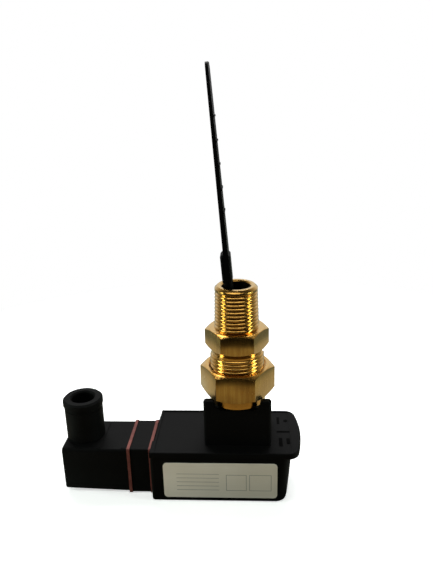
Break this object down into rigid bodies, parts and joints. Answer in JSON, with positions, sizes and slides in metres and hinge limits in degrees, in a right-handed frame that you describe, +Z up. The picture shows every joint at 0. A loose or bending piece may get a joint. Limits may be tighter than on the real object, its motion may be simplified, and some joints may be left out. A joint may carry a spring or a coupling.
{
  "type": "paddle flow switch",
  "caption": "Paddle flow switch: spring-return plastic paddle through a brass union fitting with taper thread, flat black switch housing and a side cable plug with gland.",
  "frame": {"origin": "on the flat base of the housing, under the axis of the process thread", "axes": "+Z up along the process thread towards the paddle's tip, +X along the housing away from the cable plug, +Y towards the back"},
  "size_m": [0.1212, 0.0406, 0.2059],
  "materials": {
    "black_nylon": "satin",
    "inner_plastic": "matte",
    "paddle_plastic": "satin",
    "brass": "machined",
    "steel": "brushed",
    "tinned_brass": "satin",
    "seal_rubber": "matte",
    "pink_gasket": "matte",
    "magnet": "matte",
    "label": "satin"
  },
  "bodies": {
    "housing": {"housing_body": "black_nylon", "housing_lid": "black_nylon", "lid_seal": "seal_rubber", "rating_plate": "label", "housing_screws": "steel", "dividing_sleeve": "brass", "sleeve_clip": "steel", "paddle_carrier": "paddle_plastic", "carrier_dowels": "steel", "paddle_pin": "steel", "switch_bracket": "steel", "bracket_screws": "steel", "microswitch_body": "inner_plastic", "switch_screws": "steel", "switch_terminals": "tinned_brass", "lever_pin": "steel", "connector_block": "black_nylon", "block_screws": "steel", "contact_pins": "tinned_brass", "earth_pin": "tinned_brass", "housing_gasket": "pink_gasket", "plug_gasket": "pink_gasket"},
    "nut": {"union_nut": "brass"},
    "seal": {"union_seal": "seal_rubber"},
    "fitting": {"process_adapter": "brass"},
    "paddle": {"paddle_holder": "paddle_plastic", "paddle_blade": "paddle_plastic", "paddle_magnet": "magnet"},
    "lever": {"switch_lever": "paddle_plastic", "lever_magnet": "magnet"},
    "plunger": {"switch_plunger": "paddle_plastic"},
    "plug": {"plug_housing": "black_nylon", "terminal_carrier": "inner_plastic", "contact_sockets": "brass", "terminal_screws": "steel", "plug_screw_seal": "seal_rubber", "gland_grommet": "seal_rubber"},
    "centre_screw": {"plug_screw": "steel"},
    "gland_ring": {"gland_washer": "steel"},
    "gland_nut": {"gland_screw": "black_nylon"}
  },
  "joints": [
    {"name": "union_nut_turn", "type": "hinge", "parent": "housing", "child": "nut", "pos_m": [0, 0, 0.058], "axis": [0, 0, 1], "range_deg": [0, 360]},
    {"name": "union_lift", "type": "slide", "parent": "housing", "child": "seal", "axis": [0, 0, 1], "range_m": [0, 0.00181]},
    {"name": "fitting_swivel", "type": "hinge", "parent": "seal", "child": "fitting", "pos_m": [0, 0, 0.08], "axis": [0, 0, 1], "continuous": true},
    {"name": "paddle_swing", "type": "hinge", "parent": "housing", "child": "paddle", "pos_m": [0, 0, 0.0663], "axis": [0, 1, 0], "range_deg": [0, 8.8], "stiffness_Nm_per_rad": 0.02, "springref_deg": -2.86},
    {"name": "lever_tilt", "type": "hinge", "parent": "housing", "child": "lever", "pos_m": [0, 0, 0.026], "axis": [0, 1, 0], "range_deg": [-3.2, 0]},
    {"name": "plunger_push", "type": "slide", "parent": "housing", "child": "plunger", "axis": [1, 0, 0], "range_m": [0, 0.00056]},
    {"name": "plug_pull", "type": "slide", "parent": "housing", "child": "plug", "axis": [-1, 0, 0], "range_m": [0, 0.03]},
    {"name": "centre_screw_turn", "type": "hinge", "parent": "plug", "child": "centre_screw", "pos_m": [-0.07, 0, 0.0131], "axis": [1, 0, 0], "continuous": true},
    {"name": "gland_lift", "type": "slide", "parent": "plug", "child": "gland_ring", "axis": [0, 0, 1], "range_m": [0, 0.003]},
    {"name": "gland_nut_turn", "type": "hinge", "parent": "gland_ring", "child": "gland_nut", "pos_m": [-0.0794, 0, 0.04], "axis": [0, 0, 1], "range_deg": [0, 720]}
  ],
  "couplings": [
    {"joint": "lever_tilt", "follows": "paddle_swing", "ratio": -0.36},
    {"joint": "plunger_push", "follows": "paddle_swing", "m_per_rad": 0.0036},
    {"joint": "union_nut_turn", "follows": "union_lift", "rad_per_m": 3463.7},
    {"joint": "gland_nut_turn", "follows": "gland_lift", "rad_per_m": 4188.7}
  ]
}
